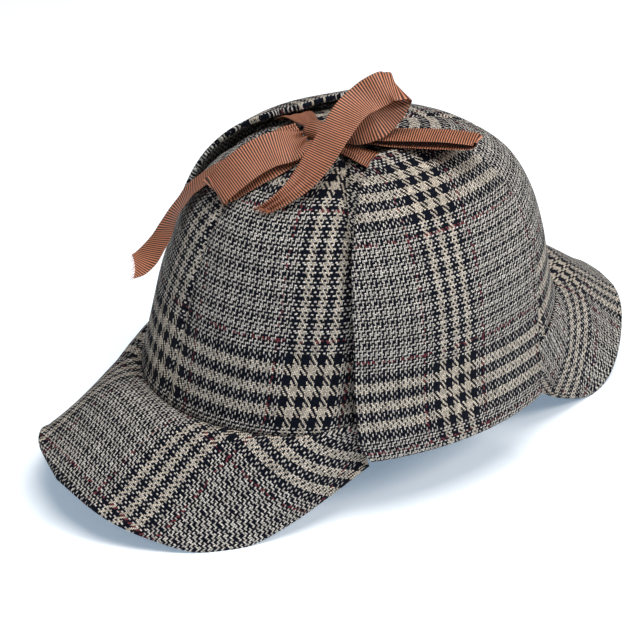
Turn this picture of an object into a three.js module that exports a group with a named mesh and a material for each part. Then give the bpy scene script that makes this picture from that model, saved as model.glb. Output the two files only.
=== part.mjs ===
// A deerstalker hat in checked tweed: a six-panel crown, a peak in front and one behind, and two ear
// flaps folded up and tied over the crown with a ribbon bow. It stands on its peaks, Z up, millimetres.
// The wearer faces -Y and the wearer's left is +X. The origin is on the floor under the middle of the hat.

import * as THREE from "three";
import { mergeVertices } from "three/addons/utils/BufferGeometryUtils.js";

// Driving dimensions
const APEX = 158; // top of the crown over the floor
const CLOTH = 2.2; // crown wall: tweed, interlining and lining cloth
const PEAK = 3; // two tweeds over a stiffener
const FLAP = 3; // two tweeds
const GAP = 0.3; // between sewn neighbours
const SEAM_STEP = 2.1; // from the crown's surface out to the middle of a peak's sewn edge
const FOLD = 33; // height of the ear flap's fold over the floor
const RIGHT_FLAP_STAND = 2.5; // how much looser the right flap is tied than the left
const LOOSE_RISE = 50; // height over which the right flap's looseness grows
const RIBBON_WIDTH = 16;
const RIBBON_THICKNESS = 0.8;
const SET_BACK = 2.87; // moves the hat back so that its cloth is centred over the origin
const DEG = Math.PI / 180;

// The crown's edge: height over the floor by the angle round from the front, the same on both sides.
const RIM_ROWS = [
  { angle: 0, height: 43 },
  { angle: 45, height: 43 },
  { angle: 90, height: 47 },
  { angle: 135, height: 56 },
  { angle: 180, height: 58 },
];

// The crown's outer sections. Rise is the share of the height from the edge to the apex; the others are
// half the width, and the reach forwards and backwards, in millimetres.
const CROWN_ROWS = [
  { rise: 0.0, side: 90, front: 112.5, back: 110 },
  { rise: 0.06, side: 89.5, front: 109, back: 106 },
  { rise: 0.2, side: 88, front: 104, back: 103 },
  { rise: 0.4, side: 84.5, front: 97.5, back: 99.5 },
  { rise: 0.58, side: 77.5, front: 90, back: 94 },
  { rise: 0.74, side: 67, front: 82, back: 84.5 },
  { rise: 0.86, side: 53.5, front: 70, back: 69 },
  { rise: 0.94, side: 36, front: 52, back: 48.5 },
  { rise: 0.985, side: 17, front: 28, back: 25 },
  { rise: 1.0, side: 0.5, front: 0.5, back: 0.5 },
];

// The peaks' outer edges from the middle to the end: distance aside and out from the hat's middle, and
// the height over the floor on the wearer's left and right. Below zero is pressed flat on the floor.
const FRONT_EDGE_ROWS = [
  { aside: 0, out: 172, left: 23, right: 23 },
  { aside: 24, out: 167, left: 16.5, right: 26 },
  { aside: 38, out: 159, left: 10.5, right: 24 },
  { aside: 50, out: 148.5, left: 5.5, right: 16 },
  { aside: 60, out: 136, left: 0.5, right: 6 },
  { aside: 67, out: 122, left: -1, right: -1 },
  { aside: 71.5, out: 109, left: 0, right: 0 },
  { aside: 76, out: 90, left: 7, right: 7 },
  { aside: 79.5, out: 66, left: 18, right: 18 },
  { aside: 82.5, out: 50, left: 27, right: 27 },
];
const BACK_EDGE_ROWS = [
  { aside: 0, out: 166, left: 26, right: 26 },
  { aside: 14, out: 164, left: 24, right: 27 },
  { aside: 27, out: 157, left: 21, right: 26 },
  { aside: 38, out: 148, left: 15, right: 20 },
  { aside: 48, out: 137, left: 9, right: 11 },
  { aside: 55, out: 125, left: 2, right: 3 },
  { aside: 60, out: 111, left: -1, right: -1 },
  { aside: 64, out: 97, left: 3, right: 3 },
  { aside: 70, out: 76, left: 14, right: 14 },
  { aside: 76, out: 58, left: 27, right: 27 },
];
const FRONT_PEAK = { name: "front_peak", middle: 0, span: 60.5, edge: FRONT_EDGE_ROWS, crowning: 9 };
const BACK_PEAK = { name: "back_peak", middle: 180, span: 61, edge: BACK_EDGE_ROWS, crowning: 5 };

// The ear flap, from its seam under the crown's edge, down round its fold and up to its tip: height over
// the floor, distance of the cloth's middle out from the crown's surface, and the angles of its edges.
const FLAP_ROWS = [
  { height: 42, out: -1, fore: 67, aft: 114 },
  { height: 37, out: -1, fore: 67, aft: 114 },
  { height: 34, out: 0.5, fore: 65, aft: 115 },
  { height: 32.5, out: 4, fore: 64, aft: 116 },
  { height: 35, out: 6.5, fore: 63, aft: 116.5 },
  { height: 42, out: 6.5, fore: 61, aft: 116.5 },
  { height: 55, out: 5.5, fore: 59.5, aft: 117 },
  { height: 70, out: 4.5, fore: 58.5, aft: 118.5 },
  { height: 90, out: 4, fore: 57.8, aft: 121.5 },
  { height: 110, out: 4, fore: 57.7, aft: 124 },
  { height: 125, out: 4, fore: 58.5, aft: 125 },
  { height: 138, out: 4, fore: 61, aft: 126.5 },
  { height: 146, out: 4, fore: 64.5, aft: 128 },
  { height: 150, out: 4, fore: 69, aft: 126 },
  { height: 152.5, out: 4, fore: 75, aft: 119 },
  { height: 153.5, out: 4, fore: 83, aft: 108 },
];

// The ribbon's middle line, piece by piece from the knot or the flap's tip outwards. Width is a share of
// the full ribbon, less where the knot gathers it; yaw and pitch, in degrees, point across the ribbon.
const TIE_LEFT_ROWS = [
  { x: 35.5, y: -6, z: 152.4, width: 0.9, yaw: 80, pitch: -6 },
  { x: 30, y: -8.5, z: 154.6, width: 0.9, yaw: 80, pitch: -6 },
  { x: 23, y: -13, z: 156.8, width: 0.7, yaw: 80, pitch: -4 },
  { x: 13, y: -18.5, z: 159.2, width: 0.4, yaw: 80, pitch: -2 },
];
const TIE_RIGHT_ROWS = [
  { x: -37, y: -12, z: 153, width: 0.9, yaw: 74, pitch: 4 },
  { x: -27, y: -13, z: 158.5, width: 0.9, yaw: 74, pitch: 2 },
  { x: -14, y: -17, z: 161, width: 0.7, yaw: 76, pitch: 0 },
  { x: -4.5, y: -21, z: 162.5, width: 0.4, yaw: 80, pitch: 0 },
];
const LOOP_FRONT_ROWS = [
  { x: 5, y: -30.5, z: 163, width: 0.45, yaw: 12, pitch: -36 },
  { x: 8, y: -37.5, z: 163, width: 0.85, yaw: 14, pitch: -44 },
  { x: 8.5, y: -44, z: 163.5, width: 1, yaw: 16, pitch: -46 },
  { x: 7.5, y: -50, z: 163.5, width: 1, yaw: 18, pitch: -46 },
  { x: 6.5, y: -55, z: 162.5, width: 1, yaw: 19, pitch: -45 },
  { x: 5, y: -61, z: 160, width: 1, yaw: 20, pitch: -43 },
  { x: 3.5, y: -67, z: 156.5, width: 1, yaw: 18, pitch: -38 },
  { x: 0.5, y: -72.5, z: 151, width: 1, yaw: 10, pitch: -30 },
  { x: -2.5, y: -76.5, z: 145.5, width: 1, yaw: 2, pitch: -22 },
  { x: -4.5, y: -74.5, z: 144, width: 1, yaw: -2, pitch: -17 },
  { x: -2, y: -70, z: 144.5, width: 1, yaw: -6, pitch: -11 },
  { x: 0.5, y: -64, z: 147.5, width: 1, yaw: -8, pitch: -8 },
  { x: 3, y: -58, z: 151, width: 1, yaw: -6, pitch: -8 },
  { x: 5.5, y: -50.5, z: 154.5, width: 1, yaw: -2, pitch: -10 },
  { x: 6, y: -42, z: 157.5, width: 0.85, yaw: 4, pitch: -16 },
  { x: 4.5, y: -33, z: 160, width: 0.45, yaw: 8, pitch: -20 },
];
const LOOP_BACK_ROWS = [
  { x: 6, y: -12.5, z: 161.5, width: 0.4, yaw: -46, pitch: 2 },
  { x: 11.5, y: -8.5, z: 161.5, width: 0.8, yaw: -46, pitch: 2 },
  { x: 17, y: -3, z: 162, width: 1, yaw: -46, pitch: 2 },
  { x: 23, y: 3, z: 162.5, width: 1, yaw: -46, pitch: 2 },
  { x: 29, y: 9, z: 163, width: 1, yaw: -46, pitch: 2 },
  { x: 35.5, y: 15.5, z: 163.5, width: 1, yaw: -46, pitch: 2 },
  { x: 42, y: 21.5, z: 164, width: 1, yaw: -46, pitch: 2 },
  { x: 48, y: 27, z: 164, width: 1, yaw: -46, pitch: 2 },
  { x: 54, y: 32.5, z: 163.5, width: 1, yaw: -46, pitch: 2 },
  { x: 55, y: 33, z: 162.5, width: 1, yaw: -46, pitch: 2 },
  { x: 52.5, y: 30.5, z: 161, width: 1, yaw: -46, pitch: 2 },
  { x: 46.5, y: 24.5, z: 160.5, width: 1, yaw: -46, pitch: 2 },
  { x: 39.5, y: 18, z: 160, width: 1, yaw: -46, pitch: 2 },
  { x: 31.5, y: 11, z: 159.5, width: 1, yaw: -46, pitch: 2 },
  { x: 24, y: 3.5, z: 159.5, width: 1, yaw: -46, pitch: 2 },
  { x: 16.5, y: -4, z: 160, width: 0.8, yaw: -46, pitch: 2 },
  { x: 9.5, y: -10.5, z: 160, width: 0.4, yaw: -46, pitch: 2 },
];
const TAIL_FRONT_ROWS = [
  { x: -1.5, y: -30.5, z: 165, width: 0.35, yaw: -10, pitch: -6 },
  { x: -3, y: -35.5, z: 164, width: 0.65, yaw: -12, pitch: -2 },
  { x: -4.5, y: -41.5, z: 162, width: 0.9, yaw: -14, pitch: 4 },
  { x: -6.5, y: -48, z: 159.5, width: 1, yaw: -16, pitch: 8 },
  { x: -9.5, y: -55, z: 155.5, width: 1, yaw: -18, pitch: 10 },
  { x: -14, y: -61, z: 151, width: 1, yaw: -18, pitch: 11 },
  { x: -19.5, y: -67, z: 145.5, width: 1, yaw: -18, pitch: 12 },
  { x: -24, y: -72, z: 140, width: 1, yaw: -18, pitch: 12 },
  { x: -27, y: -76, z: 135.5, width: 1, yaw: -17, pitch: 13 },
  { x: -28.5, y: -79.5, z: 130.5, width: 1, yaw: -17, pitch: 15 },
  { x: -29, y: -84, z: 125.5, width: 1, yaw: -14, pitch: 15 },
  { x: -28, y: -89, z: 120, width: 1, yaw: -9, pitch: 11 },
  { x: -26, y: -94, z: 115.8, width: 1, yaw: -6, pitch: 7 },
  { x: -24, y: -100, z: 112.2, width: 1, yaw: -6, pitch: 1 },
  { x: -22, y: -106, z: 109.7, width: 1, yaw: -6, pitch: -6 },
  { x: -21, y: -112, z: 108.5, width: 1, yaw: -9, pitch: -12 },
  { x: -20.5, y: -117.5, z: 108.5, width: 0.9, yaw: -11, pitch: -14 },
];
const TAIL_TOP_ROWS = [
  { x: 11.5, y: -16, z: 165, width: 0.45, yaw: -6, pitch: -40 },
  { x: 17.5, y: -13.5, z: 167, width: 0.85, yaw: -3, pitch: -52 },
  { x: 21.5, y: -9.5, z: 169, width: 1, yaw: -2, pitch: -56 },
  { x: 24.5, y: -3, z: 171.5, width: 1, yaw: -2, pitch: -56 },
  { x: 22.5, y: 6, z: 175.5, width: 1, yaw: 16, pitch: -48 },
  { x: 20.3, y: 11.5, z: 179.9, width: 1, yaw: 23, pitch: -43 },
  { x: 23.2, y: 11.1, z: 183.4, width: 1, yaw: 25, pitch: -41 },
  { x: 25.3, y: 8.5, z: 185.8, width: 1, yaw: 29, pitch: -37 },
  { x: 24.8, y: 4.5, z: 187.2, width: 1, yaw: 33, pitch: -33 },
  { x: 24, y: 0.5, z: 187.2, width: 1, yaw: 35, pitch: -29 },
  { x: 21.5, y: -7.5, z: 183.5, width: 1, yaw: 35, pitch: -22 },
  { x: 22.5, y: -17.5, z: 179.5, width: 1, yaw: 28, pitch: -10 },
  { x: 26, y: -29.5, z: 171.5, width: 1, yaw: 22, pitch: -4 },
  { x: 28.5, y: -40, z: 163, width: 1, yaw: 18, pitch: -3 },
  { x: 29, y: -49, z: 155.5, width: 0.85, yaw: 16, pitch: -4 },
  { x: 27.5, y: -58, z: 149, width: 0.55, yaw: 14, pitch: -14 },
  { x: 24, y: -65.5, z: 144, width: 0.35, yaw: 10, pitch: -40 },
  { x: 21.5, y: -69, z: 141.5, width: 0.35, yaw: 6, pitch: -55 },
];
const KNOT = { x: 4, y: -23, z: 164, across: 6, along: 6.5, tall: 4.5 };

// Catmull-Rom through one column of a table, at place t from 0 to 1 along its rows.
function column(rows, name, t) {
  const place = Math.min(Math.max(t, 0), 1) * (rows.length - 1);
  const i = Math.min(Math.floor(place), rows.length - 2);
  const f = place - i;
  const at = (k) => rows[Math.min(Math.max(k, 0), rows.length - 1)][name];
  const [a, b, c, d] = [at(i - 1), at(i), at(i + 1), at(i + 2)];
  return b + 0.5 * f * (c - a + f * (2 * a - 5 * b + 4 * c - d + f * (3 * (b - c) + d - a)));
}

// The place t at which a rising column reaches a value, by halving.
function placeOf(rows, name, value) {
  let [low, high] = [0, 1];
  for (let i = 0; i < 30; i++) {
    const middle = (low + high) / 2;
    if (column(rows, name, middle) < value) low = middle;
    else high = middle;
  }
  return (low + high) / 2;
}

// Height of the crown's edge at an angle round from the front.
function rimHeight(phi) {
  const turn = Math.abs(Math.atan2(Math.sin(phi), Math.cos(phi))) / DEG;
  return column(RIM_ROWS, "height", turn / 180);
}

// The crown's outer surface: phi runs round from the front, t from the edge to the apex.
function crownPoint(phi, t) {
  const reach = Math.cos(phi) > 0 ? column(CROWN_ROWS, "front", t) : column(CROWN_ROWS, "back", t);
  const rim = rimHeight(phi);
  return new THREE.Vector3(
    column(CROWN_ROWS, "side", t) * Math.sin(phi),
    -reach * Math.cos(phi),
    rim + (APEX - rim) * column(CROWN_ROWS, "rise", t),
  );
}

// Unit normal of a surface f(u, v), by central differences.
function normalOf(f, u, v, du, dv) {
  const across = f(u + du, v).sub(f(u - du, v));
  const along = f(u, v + dv).sub(f(u, v - dv));
  return across.cross(along).normalize();
}

// A closed wall between two grids of points with the same rows and columns. A row whose points all
// coincide closes to a tip.
function wall(outer, inner) {
  const rows = outer.length;
  const cols = outer[0].length;
  const points = [...outer.flat(), ...inner.flat()];
  const id = (side, i, j) => side * rows * cols + i * cols + j;
  const faces = [];
  const quad = (a, b, c, d) => faces.push([a, b, c], [a, c, d]);
  for (let i = 0; i < rows - 1; i++) {
    for (let j = 0; j < cols - 1; j++) {
      quad(id(0, i, j), id(0, i, j + 1), id(0, i + 1, j + 1), id(0, i + 1, j));
      quad(id(1, i, j), id(1, i + 1, j), id(1, i + 1, j + 1), id(1, i, j + 1));
    }
    quad(id(0, i, 0), id(0, i + 1, 0), id(1, i + 1, 0), id(1, i, 0));
    quad(id(0, i, cols - 1), id(1, i, cols - 1), id(1, i + 1, cols - 1), id(0, i + 1, cols - 1));
  }
  for (let j = 0; j < cols - 1; j++) {
    quad(id(0, 0, j), id(1, 0, j), id(1, 0, j + 1), id(0, 0, j + 1));
    quad(id(0, rows - 1, j), id(0, rows - 1, j + 1), id(1, rows - 1, j + 1), id(1, rows - 1, j));
  }
  return solid(points, faces);
}

// A closed BufferGeometry from points and triangles, with flat triangles dropped and faces turned out.
function solid(points, faces) {
  const real = faces.filter(([a, b, c]) => {
    const ab = points[b].clone().sub(points[a]);
    const ac = points[c].clone().sub(points[a]);
    return ab.cross(ac).length() > 1e-7;
  });
  let volume = 0;
  for (const [a, b, c] of real) volume += points[a].dot(points[b].clone().cross(points[c]));
  const order = volume > 0 ? real : real.map(([a, b, c]) => [a, c, b]);
  const geometry = new THREE.BufferGeometry();
  geometry.setAttribute("position", new THREE.Float32BufferAttribute(points.flatMap((p) => p.toArray()), 3));
  geometry.setIndex(order.flat());
  const merged = mergeVertices(geometry, 1e-4);
  merged.computeVertexNormals();
  return merged;
}

const TWEED = { color: 0x77716b, roughness: 0.95, metalness: 0 };
const RIBBON = { color: 0xa8653f, roughness: 0.6, metalness: 0 };

function piece(name, geometry, finish) {
  const mesh = new THREE.Mesh(geometry, new THREE.MeshStandardMaterial(finish));
  mesh.name = name;
  return mesh;
}

function crownPanel(name, from, to) {
  const COLS = 8;
  const ROWS = 14;
  const middle = ((from + to) / 2) * DEG;
  const half = ((to - from) / 2) * DEG;
  const outer = [];
  const inner = [];
  for (let i = 0; i <= ROWS; i++) {
    const t = i / ROWS;
    const radius = column(CROWN_ROWS, "side", t);
    const span = Math.max(half - Math.asin(Math.min(1, GAP / 2 / radius)), 0);
    const tip = i === ROWS;
    outer.push([]);
    inner.push([]);
    for (let j = 0; j <= COLS; j++) {
      const phi = middle + (tip ? 0 : span * ((2 * j) / COLS - 1));
      const p = crownPoint(phi, t);
      const n = tip ? new THREE.Vector3(0, 0, 1) : normalOf(crownPoint, phi, t, 0.01, 0.005);
      if (i === 0) n.setZ(0).normalize();
      outer[i].push(p);
      inner[i].push(p.clone().addScaledVector(n, -CLOTH));
    }
  }
  return piece(name, wall(outer, inner), TWEED);
}

// A peak's middle surface: s runs from -1 to 1 across, v from the seam to the outer edge. It is ruled
// between the two, and bulges upwards by its crowning, most at a third of the way out.
const BUMP_TOP = 4 / 27; // the highest value of v (1 - v)^2
function peakPoint(peak, s, v) {
  const phi = (peak.middle + s * peak.span) * DEG;
  const seam = crownPoint(phi, 0);
  seam.x += SEAM_STEP * Math.sin(phi);
  seam.y -= SEAM_STEP * Math.cos(phi);
  const share = Math.abs(s);
  const hand = peak.middle === 0 ? Math.sign(s) : -Math.sign(s);
  const edge = new THREE.Vector3(
    hand * column(peak.edge, "aside", share),
    (peak.middle === 0 ? -1 : 1) * column(peak.edge, "out", share),
    column(peak.edge, hand > 0 ? "left" : "right", share),
  );
  const p = seam.lerp(edge, v);
  p.z += (peak.crowning * v * (1 - v) ** 2) / BUMP_TOP;
  return p;
}

function peakPiece(peak) {
  const COLS = 28;
  const ROWS = 6;
  const STEP = 0.02;
  const outer = [];
  const inner = [];
  const surface = (s, v) => peakPoint(peak, s, v);
  const inside = (value, low, high) => Math.min(Math.max(value, low + STEP), high - STEP);
  for (let i = 0; i <= ROWS; i++) {
    outer.push([]);
    inner.push([]);
    for (let j = 0; j <= COLS; j++) {
      const s = (2 * j) / COLS - 1;
      const v = i / ROWS;
      const n = normalOf(surface, inside(s, -1, 1), inside(v, 0, 1), STEP, STEP);
      if (n.z < 0) n.negate();
      const top = surface(s, v).addScaledVector(n, PEAK / 2);
      const bottom = surface(s, v).addScaledVector(n, -PEAK / 2);
      outer[i].push(top.setZ(Math.max(top.z, 0)));
      inner[i].push(bottom.setZ(Math.max(bottom.z, 0)));
    }
  }
  return piece(peak.name, wall(outer, inner), TWEED);
}

// The ear flap's middle surface: s from 0 at its front edge to 1 at its rear edge, t from seam to tip.
// Above the crown's edge it follows the crown, some way out from it; below, it hangs level with its row.
function flapPoint(hand, stand, s, t) {
  const height = column(FLAP_ROWS, "height", t);
  const phi = THREE.MathUtils.lerp(column(FLAP_ROWS, "fore", t), column(FLAP_ROWS, "aft", t), s) * DEG;
  const rim = rimHeight(phi);
  const place = height > rim ? placeOf(CROWN_ROWS, "rise", (height - rim) / (APEX - rim)) : 0;
  const n = normalOf(crownPoint, phi, Math.max(place, 0.01), 0.01, 0.005);
  n.z *= THREE.MathUtils.smoothstep(place, 0, 0.2);
  const loose = stand * THREE.MathUtils.smoothstep(height, FOLD, FOLD + LOOSE_RISE);
  const p = crownPoint(phi, place).addScaledVector(n.normalize(), column(FLAP_ROWS, "out", t) + loose);
  if (height <= rim) p.z = Math.min(p.z, height);
  p.x *= hand;
  return p;
}

function flapPiece(name, hand, stand) {
  const COLS = 12;
  const ROWS = 18;
  const outer = [];
  const inner = [];
  const surface = (s, t) => flapPoint(hand, stand, s, t);
  for (let i = 0; i <= ROWS; i++) {
    outer.push([]);
    inner.push([]);
    for (let j = 0; j <= COLS; j++) {
      const [s, t] = [j / COLS, i / ROWS];
      const p = surface(s, t);
      const n = normalOf(surface, s, Math.min(Math.max(t, 0.01), 0.99), 0.01, 0.01);
      outer[i].push(p.clone().addScaledVector(n, FLAP / 2));
      inner[i].push(p.clone().addScaledVector(n, -FLAP / 2));
    }
  }
  return piece(name, wall(outer, inner), TWEED);
}

// A length of ribbon: a thin flat section carried along its rows, leaning the way the rows say.
function ribbonPiece(name, rows) {
  const STEPS_PER_ROW = 3;
  const steps = (rows.length - 1) * STEPS_PER_ROW;
  const at = (t) => new THREE.Vector3(column(rows, "x", t), column(rows, "y", t), column(rows, "z", t));
  const face = [];
  const back = [];
  for (let i = 0; i <= steps; i++) {
    const t = i / steps;
    const along = at(Math.min(t + 0.01, 1)).sub(at(Math.max(t - 0.01, 0))).normalize();
    const yaw = column(rows, "yaw", t) * DEG;
    const pitch = column(rows, "pitch", t) * DEG;
    const across = new THREE.Vector3(
      Math.cos(yaw) * Math.cos(pitch),
      Math.sin(yaw) * Math.cos(pitch),
      Math.sin(pitch),
    );
    across.addScaledVector(along, -across.dot(along)).normalize();
    const up = along.clone().cross(across);
    const half = (column(rows, "width", t) * RIBBON_WIDTH) / 2;
    for (const [grid, side] of [[face, 0.5], [back, -0.5]]) {
      const middle = at(t).addScaledVector(up, side * RIBBON_THICKNESS);
      grid.push([
        middle.clone().addScaledVector(across, -half),
        middle.clone().addScaledVector(across, half),
      ]);
    }
  }
  return piece(name, wall(face, back), RIBBON);
}

// The knot: the ribbon wound once over itself, a rounded pillow.
function knotPiece(name) {
  const ROUND = 16;
  const STACK = 10;
  const geometry = new THREE.SphereGeometry(1, ROUND, STACK);
  geometry.deleteAttribute("normal");
  geometry.deleteAttribute("uv");
  const closed = mergeVertices(geometry, 1e-4);
  closed.rotateX(Math.PI / 2);
  closed.scale(KNOT.across, KNOT.along, KNOT.tall);
  closed.computeVertexNormals();
  const mesh = piece(name, closed, RIBBON);
  mesh.position.set(KNOT.x, KNOT.y, KNOT.z);
  return mesh;
}

const hat = new THREE.Group();
hat.position.y = SET_BACK;
hat.add(
  crownPanel("crown_front_left", 0, 60),
  crownPanel("crown_side_left", 60, 120),
  crownPanel("crown_back_left", 120, 180),
  crownPanel("crown_back_right", 180, 240),
  crownPanel("crown_side_right", 240, 300),
  crownPanel("crown_front_right", 300, 360),
  peakPiece(FRONT_PEAK),
  peakPiece(BACK_PEAK),
  flapPiece("left_ear_flap", 1, 0),
  flapPiece("right_ear_flap", -1, RIGHT_FLAP_STAND),
  knotPiece("bow_knot"),
  ribbonPiece("tie_left", TIE_LEFT_ROWS),
  ribbonPiece("tie_right", TIE_RIGHT_ROWS),
  ribbonPiece("bow_loop_front", LOOP_FRONT_ROWS),
  ribbonPiece("bow_loop_back", LOOP_BACK_ROWS),
  ribbonPiece("bow_tail_front", TAIL_FRONT_ROWS),
  ribbonPiece("bow_tail_top", TAIL_TOP_ROWS),
);

export default hat;
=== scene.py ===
import math

import bmesh
import bpy
import numpy as np
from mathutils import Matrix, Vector


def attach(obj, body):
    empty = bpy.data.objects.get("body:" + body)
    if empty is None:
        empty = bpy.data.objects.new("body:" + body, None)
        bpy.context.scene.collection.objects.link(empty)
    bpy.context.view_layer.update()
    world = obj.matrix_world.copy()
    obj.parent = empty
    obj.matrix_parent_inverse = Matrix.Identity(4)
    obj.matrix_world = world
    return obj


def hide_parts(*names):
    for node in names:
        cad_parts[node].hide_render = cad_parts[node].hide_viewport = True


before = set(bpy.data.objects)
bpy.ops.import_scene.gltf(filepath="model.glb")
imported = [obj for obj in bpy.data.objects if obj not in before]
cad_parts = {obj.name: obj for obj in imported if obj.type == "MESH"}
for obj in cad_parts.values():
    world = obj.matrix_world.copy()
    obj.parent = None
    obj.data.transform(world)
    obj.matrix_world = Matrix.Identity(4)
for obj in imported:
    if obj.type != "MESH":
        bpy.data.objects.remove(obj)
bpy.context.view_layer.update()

# A deerstalker hat in checked tweed, standing on its peaks. Metres, Z up, the wearer faces -Y and the
# wearer's left is +X. Tables give lengths in millimetres through mm(), and angles in degrees.


def mm(*values):
    """Millimetres in, metres out."""
    return np.array(values, float) * 0.001


SET_BACK = 0.00287  # the whole hat is moved back by this much, to centre its cloth over the origin
APEX = 0.158  # top of the crown over the floor
CLOTH = 0.0022  # crown wall
PEAK = 0.003  # thickness of a peak
FLAP = 0.003  # thickness of an ear flap
FOLD = 0.033  # height of an ear flap's fold
LOOSE_RISE = 0.05  # height over which the looser right flap stands away
RIGHT_FLAP_STAND = 0.0025  # how much looser the right flap is tied than the left
SEAM_LAP = 0.0006  # how far a peak's sewn edge runs into the crown's wall
PANELS = 6
RIBBON = 0.016  # width

# The crown's edge: its height at even steps round from the front to the back.
RIM = {"height": mm(43, 43, 47, 56, 58)}
# The crown's sections: the share of the way up from the edge, half the width, and the reach each way.
CROWN = {
    "rise": np.array([0, 0.06, 0.2, 0.4, 0.58, 0.74, 0.86, 0.94, 0.985, 1]),
    "side": mm(90, 89.5, 88, 84.5, 77.5, 67, 53.5, 36, 17, 0),
    "front": mm(112.5, 109, 104, 97.5, 90, 82, 70, 52, 28, 0),
    "back": mm(110, 106, 103, 99.5, 94, 84.5, 69, 48.5, 25, 0),
}
# A peak's outer edge from its middle to its end: aside, out from the hat's middle, and the height on the
# wearer's left and right. Below zero is pressed flat on the floor.
FRONT_EDGE = {
    "aside": mm(0, 24, 38, 50, 60, 67, 71.5, 76, 79.5, 82.5),
    "out": mm(172, 167, 159, 148.5, 136, 122, 109, 90, 66, 50),
    "left": mm(23, 16.5, 10.5, 5.5, 0.5, -1, 0, 7, 18, 27),
    "right": mm(23, 26, 24, 16, 6, -1, 0, 7, 18, 27),
}
BACK_EDGE = {
    "aside": mm(0, 14, 27, 38, 48, 55, 60, 64, 70, 76),
    "out": mm(166, 164, 157, 148, 137, 125, 111, 97, 76, 58),
    "left": mm(26, 24, 21, 15, 9, 2, -1, 3, 14, 27),
    "right": mm(26, 27, 26, 20, 11, 3, -1, 3, 14, 27),
}
# An ear flap from its seam to its tip: height, distance out from the crown, and where its two edges lie
# round from the front.
FLAP_FORM = {
    "height": mm(46.5, 40, 34.5, 32.5, 35, 42, 55, 70, 90, 110, 125, 138, 146, 150, 152.5, 153.5),
    "out": mm(-1, -1, 0.5, 4, 6.5, 6.5, 5.5, 4.5, 4, 4, 4, 4, 4, 4, 4, 4),
    "fore": np.array([67, 67, 65, 64, 63, 61, 59.5, 58.5, 57.8, 57.7, 58.5, 61, 64.5, 69, 75, 83]),
    "aft": np.array([114, 114, 115, 116, 116.5, 116.5, 117, 118.5,
                     121.5, 124, 125, 126.5, 128, 126, 119, 108]),
}

# The ribbon's middle line from the knot or the flap's tip outwards, in metres: x, y, z, then its width as
# a share of the whole ribbon, and the yaw and pitch in degrees of the line across it.
TIE_LEFT = np.array([
    (0.0355, -0.0060, 0.1524, 0.9, 80, -6),
    (0.0300, -0.0085, 0.1546, 0.9, 80, -6),
    (0.0230, -0.0130, 0.1568, 0.7, 80, -4),
    (0.0130, -0.0185, 0.1592, 0.4, 80, -2),
])
TIE_RIGHT = np.array([
    (-0.0370, -0.0120, 0.1530, 0.9, 74, 4),
    (-0.0270, -0.0130, 0.1585, 0.9, 74, 2),
    (-0.0140, -0.0170, 0.1610, 0.7, 76, 0),
    (-0.0045, -0.0210, 0.1625, 0.4, 80, 0),
])
LOOP_FRONT = np.array([
    (0.0050, -0.0305, 0.1630, 0.45, 12, -36),
    (0.0080, -0.0375, 0.1630, 0.85, 14, -44),
    (0.0085, -0.0440, 0.1635, 1, 16, -46),
    (0.0075, -0.0500, 0.1635, 1, 18, -46),
    (0.0065, -0.0550, 0.1625, 1, 19, -45),
    (0.0050, -0.0610, 0.1600, 1, 20, -43),
    (0.0035, -0.0670, 0.1565, 1, 18, -38),
    (0.0005, -0.0725, 0.1510, 1, 10, -30),
    (-0.0025, -0.0765, 0.1455, 1, 2, -22),
    (-0.0045, -0.0745, 0.1440, 1, -2, -17),
    (-0.0020, -0.0700, 0.1445, 1, -6, -11),
    (0.0005, -0.0640, 0.1475, 1, -8, -8),
    (0.0030, -0.0580, 0.1510, 1, -6, -8),
    (0.0055, -0.0505, 0.1545, 1, -2, -10),
    (0.0060, -0.0420, 0.1575, 0.85, 4, -16),
    (0.0045, -0.0330, 0.1600, 0.45, 8, -20),
])
LOOP_BACK = np.array([
    (0.0060, -0.0125, 0.1615, 0.4, -46, 2),
    (0.0115, -0.0085, 0.1615, 0.8, -46, 2),
    (0.0170, -0.0030, 0.1620, 1, -46, 2),
    (0.0230, 0.0030, 0.1625, 1, -46, 2),
    (0.0290, 0.0090, 0.1630, 1, -46, 2),
    (0.0355, 0.0155, 0.1635, 1, -46, 2),
    (0.0420, 0.0215, 0.1640, 1, -46, 2),
    (0.0480, 0.0270, 0.1640, 1, -46, 2),
    (0.0540, 0.0325, 0.1635, 1, -46, 2),
    (0.0550, 0.0330, 0.1625, 1, -46, 2),
    (0.0525, 0.0305, 0.1610, 1, -46, 2),
    (0.0465, 0.0245, 0.1605, 1, -46, 2),
    (0.0395, 0.0180, 0.1600, 1, -46, 2),
    (0.0315, 0.0110, 0.1595, 1, -46, 2),
    (0.0240, 0.0035, 0.1595, 1, -46, 2),
    (0.0165, -0.0040, 0.1600, 0.8, -46, 2),
    (0.0095, -0.0105, 0.1600, 0.4, -46, 2),
])
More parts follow.
